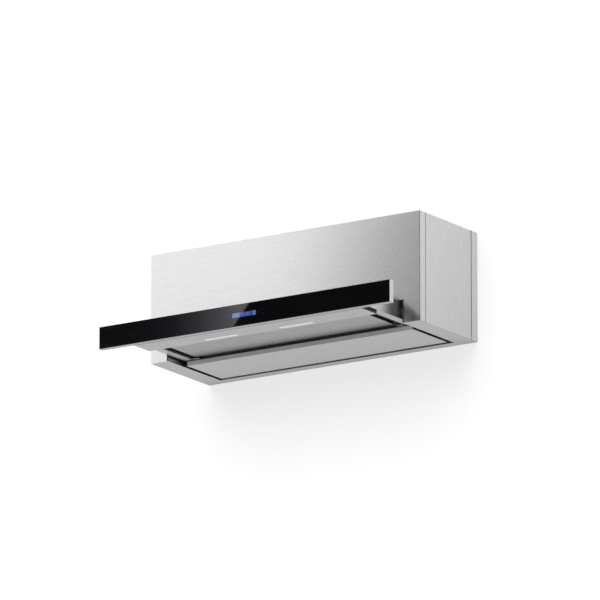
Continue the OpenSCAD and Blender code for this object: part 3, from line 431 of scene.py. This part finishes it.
def opal(name):
    """Diffusing lens with fine prisms across it."""
    made, tree, shader = material(name, (0.78, 0.79, 0.8), 0.3, Subsurface_Weight=0.25,
                                  Subsurface_Scale=0.004, IOR=1.49, Emission_Strength=0.22)
    shader.inputs["Emission Color"].default_value = WHITE
    place = object_place(tree)
    prisms = put(tree, "TexWave", {"Vector": place, "Scale": 260.0, "Distortion": 0.0},
                 bands_direction="X").outputs[1]
    fine = grain(tree, place, 900.0, 2.0)
    dress(tree, shader, tone(tree, fine, (0.73, 0.74, 0.76), (0.83, 0.84, 0.85)),
          pick(tree, fine, 0.24, 0.36))
    bump(tree, shader, prisms, 0.15, 0.0002)
    return made


looks = {
    "brushed_steel": brushed("brushed_steel"),
    "zinc_steel": galvanised("galvanised", (0.56, 0.57, 0.58)),
    "aluminium": extruded("aluminium", (0.78, 0.785, 0.79)),
    "filter_mesh": strand_mesh("filter_mesh", (0.42, 0.42, 0.43)),
    "black_glass": polished_glass("black_glass"),
    "display_blue": moulded("display_case", (0.03, 0.05, 0.12), 0.3),
    "black_plastic": moulded("black_plastic", (0.018, 0.018, 0.019), 0.42),
    "grey_plastic": moulded("grey_plastic", (0.16, 0.165, 0.17), 0.46),
    "white_plastic": moulded("white_plastic", (0.74, 0.74, 0.72), 0.4),
    "opal_lens": opal("opal_lens"),
    "circuit_board": circuit("circuit_board"),
    "rubber": moulded("rubber", (0.022, 0.021, 0.021), 0.78, 700.0, 0.3),
    "zinc_screw": plated("zinc_plate", (0.66, 0.68, 0.72)),
    "motor_steel": laminated("motor_steel", (0.3, 0.31, 0.32)),
}
special = {
    # The drawer's suction panel is darker steel and dims towards its rear: both painted shade.
    "drawer_panel": brushed("painted_shade_steel", (0.52, 0.52, 0.525), fade=(-292.0, -228.0)),
    "body_panel": brushed("panel_steel", low=0.55),
    # The front panel carries a painted dark line at its crease and the drawer's painted shadow.
    "front_panel": brushed("folded_steel", streak=0.045, fold=415.4,
                           shade_from=(367.7, -148.7)),
    "tray": brushed("tray_steel", wall=350.0),
    "bottom_frame": brushed("border_steel", low=0.2),
    "drawer_panel_pins": plated("blackened_pins", (0.1, 0.1, 0.105)),
    "front_profile": extruded("profile_aluminium", (0.62, 0.625, 0.63)),
}
cap_aluminium = extruded("cap_aluminium", (0.66, 0.665, 0.67))
special["end_cap_left"] = special["end_cap_right"] = cap_aluminium
for name, part in nodes.items():
    for place in part.material_slots:
        if name in special:
            place.material = special[name]
        elif place.material and place.material.name in looks:
            place.material = looks[place.material.name]


# ---------------------------------------------------------------- edges
WELD_MM, BEVEL_SEGMENTS, SHARP_DEGREES = 0.01, 2, 50.0
EASED_MM = {"front_panel": 0.4, "side_panel_left": 0.5, "side_panel_right": 0.5,
            "light_panel": 0.4, "front_profile": 0.3, "end_cap_left": 0.3, "end_cap_right": 0.3,
            "glass_panel": 0.25, "body_panel": 0.4, "drawer_panel": 0.4, "tray": 0.35,
            "top_panel": 0.4, "bottom_frame": 0.4}


def ease_edges(name, width):
    """Round the sharp edges of a carried-over piece."""
    weld = nodes[name].modifiers.new("weld", "WELD")
    weld.merge_threshold = WELD_MM * MM
    bevel = nodes[name].modifiers.new("edges", "BEVEL")
    bevel.width, bevel.segments = width * MM, BEVEL_SEGMENTS
    bevel.limit_method, bevel.angle_limit = "ANGLE", math.radians(SHARP_DEGREES)
    bevel.use_clamp_overlap = False
    bevel.harden_normals = True


for name, width in EASED_MM.items():
    ease_edges(name, width)


# ---------------------------------------------------------------- shapes, in mm
PRINT_T = 0.05                          # thickness of a print on the glass
PRINT_Y = GLASS_Y - PRINT_T             # face of the display and the touch marks
PIXEL_Y = GLASS_Y - 2.0 * PRINT_T       # face of the numbers, which lie on the display


def solid(bm, first, second):
    """A closed shape between two outlines of as many points."""
    first = [bm.verts.new(point) for point in first]
    second = [bm.verts.new(point) for point in second]
    bm.faces.new(first)
    bm.faces.new(second[::-1])
    for i in range(len(first)):
        j = (i + 1) % len(first)
        bm.faces.new((first[i], second[i], second[j], first[j]))


def raised(bm, outline, y):
    """A flat print on the glass: outline as (x, z) points, its face at y."""
    solid(bm, [(x, y, z) for x, z in outline], [(x, y + PRINT_T, z) for x, z in outline])


def prism_x(bm, outline, x_a, x_b):
    """A shape given as (y, z) points, drawn out along X."""
    solid(bm, [(x_a, y, z) for y, z in outline], [(x_b, y, z) for y, z in outline])


def rounded(x_a, x_b, z_a, z_b, r, steps=5):
    """Outline of a rectangle with rounded corners."""
    points = []
    for x, z, start in ((x_b - r, z_b - r, 0), (x_a + r, z_b - r, 90),
                        (x_a + r, z_a + r, 180), (x_b - r, z_a + r, 270)):
        for i in range(steps + 1):
            a = math.radians(start + 90.0 * i / steps)
            points.append((x + r * math.cos(a), z + r * math.sin(a)))
    return points


def stroke(bm, x_a, z_a, x_b, z_b, w, y):
    """A straight line of the print, w wide with round ends."""
    run = math.atan2(z_b - z_a, x_b - x_a)
    points = []
    for x, z, start in ((x_b, z_b, -90.0), (x_a, z_a, 90.0)):
        for i in range(7):
            a = run + math.radians(start + 30.0 * i)
            points.append((x + 0.5 * w * math.cos(a), z + 0.5 * w * math.sin(a)))
    raised(bm, points, y)


def arc(bm, x, z, r, w, start, end, y, steps=20):
    """A ring or part of one, as a chain of short strokes that share their ends."""
    span = math.radians(end - start)
    inner, outer = [], []
    for i in range(steps + 1):
        a = math.radians(start) + span * i / steps
        inner.append((x + (r - 0.5 * w) * math.cos(a), z + (r - 0.5 * w) * math.sin(a)))
        outer.append((x + (r + 0.5 * w) * math.cos(a), z + (r + 0.5 * w) * math.sin(a)))
    for i in range(steps):
        raised(bm, [inner[i], outer[i], outer[i + 1], inner[i + 1]], y)


def bars(xs, ys, zs, both_sides=True):
    """A builder of plain bars between two X and two Z, one for each pair of Y."""
    def build(bm):
        for side in (-1.0, 1.0) if both_sides else (1.0,):
            for y_a, y_b in ys:
                prism_x(bm, [(y_a, zs[0]), (y_b, zs[0]), (y_b, zs[1]), (y_a, zs[1])],
                        side * xs[0], side * xs[1])
    return build


def light_panel_plugs(bm):
    """Soft black plugs that close the ends of the light panel."""
    for side in (-1.0, 1.0):
        prism_x(bm, rounded(-448.8, -379.0, -196.7, -187.2, 1.0), side * 351.6, side * 352.0)


# Dark beads that close the upright seams between the shell's panels.
BEAD = 0.85                             # half their width
seam_beads = bars((416.9, 417.1), [(y - BEAD, y + BEAD) for y in (-248.0, -30.2)], (-199.5, 92.5))
# Foam strips along both sides of the drawer's suction slot, which also stand in for the shade in
# the slot.
slot_seals_and_shade = bars((325.2, 330.0), [(-376.0, -205.0)], (-187.3, -187.0))
# Foam strip low on the drawer's rear wall: a seal, and a dark strip that stands in for the shade
# in the suction gap.
gap_seal_and_shade = bars((-304.0, 304.0), [(-199.3, -199.0)], (-187.0, -180.5), both_sides=False)
# Sheet corners that end the drawer's suction slot at its rear.
slot_corners = bars((306.0, 325.0), [(-217.0, -199.0)], (-187.0, -186.6))
# Black edge of the glass, carried down over the profile's lip.
lip_cover = bars((-447.5, 447.5), [(-466.05, -466.0)], (-196.95, -195.8), both_sides=False)
# Black seal over the joint between the profile and the light panel, which also stands in for the
# shade along that joint.
profile_seal_and_shade = bars((-351.0, 351.0), [(-450.9, -449.1)], (-197.05, -197.0), both_sides=False)
# Satin edge strip on the front lip of the body's suction panel.
panel_trim = bars((-349.5, 349.5), [(-203.9, -203.5)], (-199.7, -188.4), both_sides=False)
# Rubber guards on the upright edges of the front panel's opening.
opening_guards = bars((363.0, 366.6), [(-274.25, -274.0)], (-199.0, -137.5))


# ---------------------------------------------------------------- display and marks, in mm
SCREEN_A, SCREEN_B = -34.6, 38.4
SCREEN_LOW, SCREEN_TOP = -173.0, -160.8
SEGMENTS = {"0": "abcdef", "1": "bc", "2": "abged", "3": "abgcd"}
SEGMENT_W, SEGMENT_GAP = 0.7, 0.45
DIGIT_Z, DIGIT_W, DIGIT_H = -170.1, 3.8, 6.6
DIGITS = ((-8.0, "1"), (-1.9, "2"), (7.4, "3"), (13.5, "0"))
FAN_X, FAN_Z, FAN_REACH = -22.5, -166.9, 2.6
MARK_Z, MARK_W = -166.8, 0.8
POWER_X, LAMP_X, ARROWS_X = -58.0, -44.6, 58.0


def glowing(name, stops, low, high):
    """Print or pixels lit from behind, seen through the glass: colour changes along X."""
    made, tree, shader = material(name, (0.002, 0.002, 0.003), 0.03, IOR=1.5,
                                  Emission_Strength=1.0)
    at = split(tree, object_place(tree))
    lit = colour_ramp(tree, share(tree, at[0], low * MM, high * MM), stops)
    dots = put(tree, "TexChecker", {"Vector": object_place(tree), "Scale": 1400.0}).outputs[1]
    dimmed = put(tree, "Mix", {0: calc(tree, "MULTIPLY", dots, 0.12), 6: lit, 7: BLACK},
                 data_type="RGBA").outputs[2]
    tree.links.new(dimmed, shader.inputs["Emission Color"])
    return made


screen_glow = glowing("screen_glow",
                      [(0.0, (0.11, 0.2, 0.38)), (0.3, (0.10, 0.19, 0.37)),
                       (0.34, (0.045, 0.07, 0.27)), (0.86, (0.04, 0.075, 0.29)),
                       (0.9, (0.085, 0.17, 0.47)), (1.0, (0.06, 0.13, 0.4))],
                      SCREEN_A, SCREEN_B)
digit_glow = glowing("digit_glow", [(0.0, (0.3, 0.3, 0.62)), (1.0, (0.2, 0.24, 0.55))],
                     SCREEN_A, SCREEN_B)
mark_glow = glowing("mark_glow", [(0.0, (0.03, 0.03, 0.034)), (1.0, (0.03, 0.03, 0.032))],
                    -90.0, 90.0)


def digit(bm, x, text):
    """One seven-segment number with its lower left corner at (x, DIGIT_Z)."""
    w, h, m = DIGIT_W, DIGIT_H, 0.5 * DIGIT_H
    lines = {"a": (0, h, w, h), "b": (w, h, w, m), "c": (w, m, w, 0), "d": (0, 0, w, 0),
             "e": (0, m, 0, 0), "f": (0, h, 0, m), "g": (0, m, w, m)}
    for key in SEGMENTS[text]:
        a, b, c, d = lines[key]
        dx, dz = (SEGMENT_GAP, 0.0) if b == d else (0.0, -SEGMENT_GAP)
        stroke(bm, x + a + dx, DIGIT_Z + b + dz, x + c - dx, DIGIT_Z + d - dz, SEGMENT_W, PIXEL_Y)


def screen(bm):
    """The display's lit face."""
    raised(bm, rounded(SCREEN_A, SCREEN_B, SCREEN_LOW, SCREEN_TOP, 1.2), PRINT_Y)


def numbers(bm):
    """A clock, a fan and three bars of speed."""
    for x, text in DIGITS:
        digit(bm, x, text)
    for dz in (1.9, 4.7):
        stroke(bm, 4.6, DIGIT_Z + dz, 4.8, DIGIT_Z + dz, 0.8, PIXEL_Y)
    arc(bm, FAN_X, FAN_Z, 1.1, 0.6, 0, 360, PIXEL_Y, 14)
    for k in range(3):
        degrees = 90 + 120 * k
        a = math.radians(degrees)
        arc(bm, FAN_X + FAN_REACH * math.cos(a), FAN_Z + FAN_REACH * math.sin(a), 1.4, 0.6,
            degrees - 150, degrees + 60, PIXEL_Y, 10)
    for dz in (0.0, 2.6, 5.2):
        stroke(bm, 29.0, -169.5 + dz, 33.6, -169.5 + dz, 0.7, PIXEL_Y)


def touch_marks(bm):
    """Generic marks: power, lamp, minus, and arrows up and down."""
    y, z, w = PRINT_Y, MARK_Z, MARK_W
    arc(bm, POWER_X, z, 3.2, w, 125, 415, y)
    stroke(bm, POWER_X, z + 1.2, POWER_X, z + 4.6, w, y)
    arc(bm, LAMP_X, z + 0.8, 2.4, w, -50, 230, y)
    stroke(bm, -45.9, z - 2.4, -43.3, z - 2.4, w, y)
    stroke(bm, -45.5, z - 3.9, -43.7, z - 3.9, w, y)
    stroke(bm, 46.0, z, 50.6, z, w, y)
    for rise in (1.0, -1.0):
        peak = z + rise * 6.6
        stroke(bm, 55.4, peak - rise * 2.4, ARROWS_X, peak, w, y)
        stroke(bm, ARROWS_X, peak, 60.6, peak - rise * 2.4, w, y)


# ---------------------------------------------------------------- pieces
def piece(name, build, made, body):
    """A mesh written by build(bm) in mm, given its finish and the body it rides on."""
    bm = bmesh.new()
    build(bm)
    bmesh.ops.scale(bm, vec=(MM, MM, MM), verts=bm.verts)
    bmesh.ops.recalc_face_normals(bm, faces=bm.faces)
    mesh = bpy.data.meshes.new(name)
    bm.to_mesh(mesh)
    bm.free()
    mesh.materials.append(made)
    made_object = bpy.data.objects.new(name, mesh)
    scene.collection.objects.link(made_object)
    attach(made_object, body)


rubber = looks["rubber"]
satin = moulded("satin_trim", (0.59, 0.59, 0.595), 0.5)
piece("screen_window", screen, screen_glow, "drawer")
piece("screen_numbers", numbers, digit_glow, "drawer")
piece("light_panel_plugs", light_panel_plugs, rubber, "drawer")
piece("seam_beads", seam_beads, rubber, "hood_body")
piece("slot_seals_and_shade", slot_seals_and_shade, rubber, "drawer")
piece("gap_seal_and_shade", gap_seal_and_shade, rubber, "drawer")
piece("slot_corners", slot_corners, looks["brushed_steel"], "drawer")
piece("lip_cover", lip_cover, looks["black_plastic"], "drawer")
piece("profile_seal_and_shade", profile_seal_and_shade, rubber, "drawer")
piece("panel_trim", panel_trim, satin, "body_suction_panel")
piece("opening_guards", opening_guards, rubber, "hood_body")
piece("touch_marks", touch_marks, mark_glow, "drawer")


# ---------------------------------------------------------------- stage, in metres
FLOOR_Z, FAR = -0.40, 9.0
CARD_Y = (GLASS_Y - 1200.0) * MM
STRIP_H, STRIP_W = 0.05, 0.62           # half the height and width of the glass's strip
GLASS_LIGHT, GLASS_REST, STEEL_LIGHT = 2.0, 0.03, 1.2
DIM_Z = -0.8


def plane(name, corners, made):
    """A flat stage sheet."""
    mesh = bpy.data.meshes.new(name)
    mesh.from_pydata([Vector(c) for c in corners], [], [tuple(range(len(corners)))])
    made_object = bpy.data.objects.new(name, mesh)
    scene.collection.objects.link(made_object)
    mesh.materials.append(made)
    return made_object


def one_sided(name, build):
    """A material seen only from the front of its plane."""
    made = bpy.data.materials.new(name)
    made.use_nodes = True
    tree = made.node_tree
    tree.nodes.clear()
    front = build(tree)
    clear = put(tree, "BsdfTransparent").outputs[0]
    behind = put(tree, "NewGeometry").outputs["Backfacing"]
    mixed = put(tree, "MixShader", {0: behind, 1: front, 2: clear}).outputs[0]
    put(tree, "OutputMaterial", {0: mixed})
    return made


def paper(glow, white):
    """Plain paper that renders white where no shadow falls."""
    def build(tree):
        own = emission(tree, glow)
        skin = put(tree, "BsdfDiffuse", {0: (white, white, white, 1.0)}).outputs[0]
        return put(tree, "AddShader", {0: own, 1: skin}).outputs[0]
    return build


wall_sheet = plane("wall", [(-FAR, 0.001, -FAR), (FAR, 0.001, -FAR), (FAR, 0.001, FAR),
                            (-FAR, 0.001, FAR)], one_sided("wall_paper", paper(0.625, 0.395)))
floor_sheet = plane("floor", [(-FAR, -FAR, FLOOR_Z), (FAR, -FAR, FLOOR_Z), (FAR, 0.0, FLOOR_Z),
                              (-FAR, 0.0, FLOOR_Z)], one_sided("floor_paper", paper(0.79, 0.30)))
for sheet in (wall_sheet, floor_sheet):
    sheet.visible_shadow = sheet.visible_diffuse = sheet.visible_glossy = False


def card(name, corners, build):
    """A reflector that only the object's gloss can see."""
    made = plane(name, corners, one_sided(name, build))
    made.visible_camera = made.visible_diffuse = made.visible_shadow = False
    made.visible_transmission = False


def front_card(tree):
    """Soft window for the steel, and a lower strip for the glass with a slanted edge."""
    at = split(tree, object_place(tree))
    x_a = seen_in((-450.0, -BODY_D, -60.0), CARD_Y)[0]
    x_b = seen_in((450.0, -BODY_D, -60.0), CARD_Y)[0]
    run = share(tree, at[0], x_a, x_b, clamp=False)
    lift = calc(tree, "MULTIPLY_ADD", at[2], 0.35, -0.035, clamp=True)
    lift = calc(tree, "SUBTRACT", lift, 0.1)
    run = calc(tree, "MULTIPLY_ADD", run, 0.5, calc(tree, "MULTIPLY", lift, -0.5), clamp=True)
    steel = ramp(tree, run, [(0.0, 0.97), (0.16, 1.0), (0.25, 0.96), (0.34, 0.66), (0.42, 0.3),
                             (0.5, 0.1), (0.6, 0.08), (0.74, 0.45), (0.9, 0.9)])
    far_flag = ramp(tree, calc(tree, "MULTIPLY", at[0], 0.4, clamp=True),
                    [(0.0, 1.0), (0.2, 1.0), (0.3, 0.06), (1.0, 0.03)])
    steel = calc(tree, "MULTIPLY", steel, far_flag)
    steel = calc(tree, "MULTIPLY", steel, STEEL_LIGHT)

    x_c = seen_in((-447.0, GLASS_Y, -167.0), CARD_Y)[0]
    x_d = seen_in((447.0, GLASS_Y, -167.0), CARD_Y)[0]
    glass = ramp(tree, share(tree, at[0], x_c, x_d),
                 [(0.0, 0.03), (0.16, 0.04), (0.26, 0.09), (0.34, 0.27), (0.415, 0.56),
                  (0.485, 1.0), (1.0, 1.0)])
    top = seen_in((17.3, GLASS_Y, -138.4), CARD_Y)
    low = seen_in((-32.1, GLASS_Y, -195.5), CARD_Y)
    slope = (top[0] - low[0]) / (top[1] - low[1])
    edge = calc(tree, "MULTIPLY_ADD", calc(tree, "SUBTRACT", at[2], low[1]), slope, low[0])
    lit = calc(tree, "LESS_THAN", at[0], edge)
    glass = calc(tree, "MULTIPLY", calc(tree, "MULTIPLY", glass, GLASS_LIGHT), lit)
    glass = calc(tree, "MAXIMUM", glass, GLASS_REST)

    off_z = calc(tree, "ABSOLUTE", calc(tree, "SUBTRACT", at[2], 0.5 * (top[1] + low[1])))
    strip = calc(tree, "LESS_THAN", off_z, STRIP_H)
    off_x = calc(tree, "ABSOLUTE", calc(tree, "SUBTRACT", at[0], 0.5 * (x_c + x_d)))
    strip = calc(tree, "MULTIPLY", strip, calc(tree, "LESS_THAN", off_x, STRIP_W))
    level = pick(tree, strip, steel, glass)
    return emission(tree, level, tone(tree, strip, (1.0, 1.0, 1.0), (1.03, 0.99, 1.13)))


def side_card(tree):
    """Soft window for the right side, brightest near the wall and towards its top."""
    at = split(tree, object_place(tree))
    run = calc(tree, "MULTIPLY_ADD", at[1], 1.0, -0.6, clamp=True)
    level = ramp(tree, run, [(0.0, 1.12), (0.32, 1.02), (0.6, 0.64), (1.0, 0.5)])
    low = calc(tree, "MULTIPLY_ADD", at[2], 0.5, 0.35, clamp=True)
    upward = ramp(tree, low, [(0.36, 0.84), (0.5, 0.96), (0.64, 1.05)])
    return emission(tree, calc(tree, "MULTIPLY", level, upward))


def under_card(tree):
    """The shadowed wall below the hood, darkest close under it."""
    at = split(tree, object_place(tree))
    below = calc(tree, "MULTIPLY_ADD", at[2], -1.0, -0.2, clamp=True)
    return emission(tree, ramp(tree, below, [(0.0, 0.42), (0.025, 0.56), (0.08, 0.6),
                                             (1.0, 0.58)]))


def floor_card(tree):
    """The dim floor close under the hood, and the bright floor further out."""
    away = put(tree, "VectorMath", {0: object_place(tree), 1: (0.0, -0.25, DIM_Z)},
               operation="DISTANCE").outputs["Value"]
    return emission(tree, ramp(tree, calc(tree, "MULTIPLY", away, 0.4, clamp=True),
                               [(0.0, 0.2), (0.25, 0.26), (0.5, 0.7), (0.9, 1.0)]))


card("front_card", [(-3.0, CARD_Y, 2.6), (4.0, CARD_Y, 2.6), (4.0, CARD_Y, -1.4),
                    (-3.0, CARD_Y, -1.4)], front_card)
card("side_card", [(1.2, 0.1, -0.8), (1.2, 0.1, 2.4), (1.2, 4.0, 2.4), (1.2, 4.0, -0.8)],
     side_card)
card("under_card", [(-4.0, 0.004, -3.0), (2.5, 0.004, -3.0), (2.5, 0.004, -0.2),
                    (0.41, 0.004, -0.2), (0.41, 0.004, 0.09), (-4.0, 0.004, 0.09)], under_card)
card("floor_card", [(-4.0, -4.0, DIM_Z), (4.0, -4.0, DIM_Z), (4.0, 0.0, DIM_Z),
                    (-4.0, 0.0, DIM_Z)], floor_card)


# ---------------------------------------------------------------- light
SUN_AZ, SUN_EL = math.radians(0.0), math.radians(24.0)
NIGHT_SIDE = (0.55, -0.83, 0.1)         # the sky's darker side in gloss

world = bpy.data.worlds.new("world")
scene.world = world
world.use_nodes = True
sky = world.node_tree
sky.nodes.clear()
path = put(sky, "LightPath").outputs
first = calc(sky, "LESS_THAN", path["Ray Depth"], 1.5)
shown = calc(sky, "MAXIMUM", path["Is Camera Ray"],
             calc(sky, "MULTIPLY", path["Is Glossy Ray"], first))
shown = calc(sky, "MAXIMUM", shown, path["Is Transmission Ray"])
aim = put(sky, "VectorMath", {0: put(sky, "TexCoord").outputs["Generated"], 1: NIGHT_SIDE},
          operation="DOT_PRODUCT").outputs["Value"]
night = ramp(sky, aim, [(0.3, 0.6), (0.8, 0.05)])
dim_level = pick(sky, path["Is Diffuse Ray"], night, 0.6)
dim = put(sky, "Background", {0: WHITE, 1: dim_level}).outputs[0]
white = put(sky, "Background", {0: WHITE, 1: 1.0}).outputs[0]
put(sky, "OutputWorld", {0: put(sky, "MixShader", {0: shown, 1: dim, 2: white}).outputs[0]})

lamp = bpy.data.lights.new("softbox", "SUN")
lamp.energy = 1.9
lamp.angle = math.radians(44.0)
softbox = bpy.data.objects.new("softbox", lamp)
scene.collection.objects.link(softbox)
softbox.rotation_euler = toward(SUN_AZ, SUN_EL).to_track_quat("Z", "Y").to_euler()
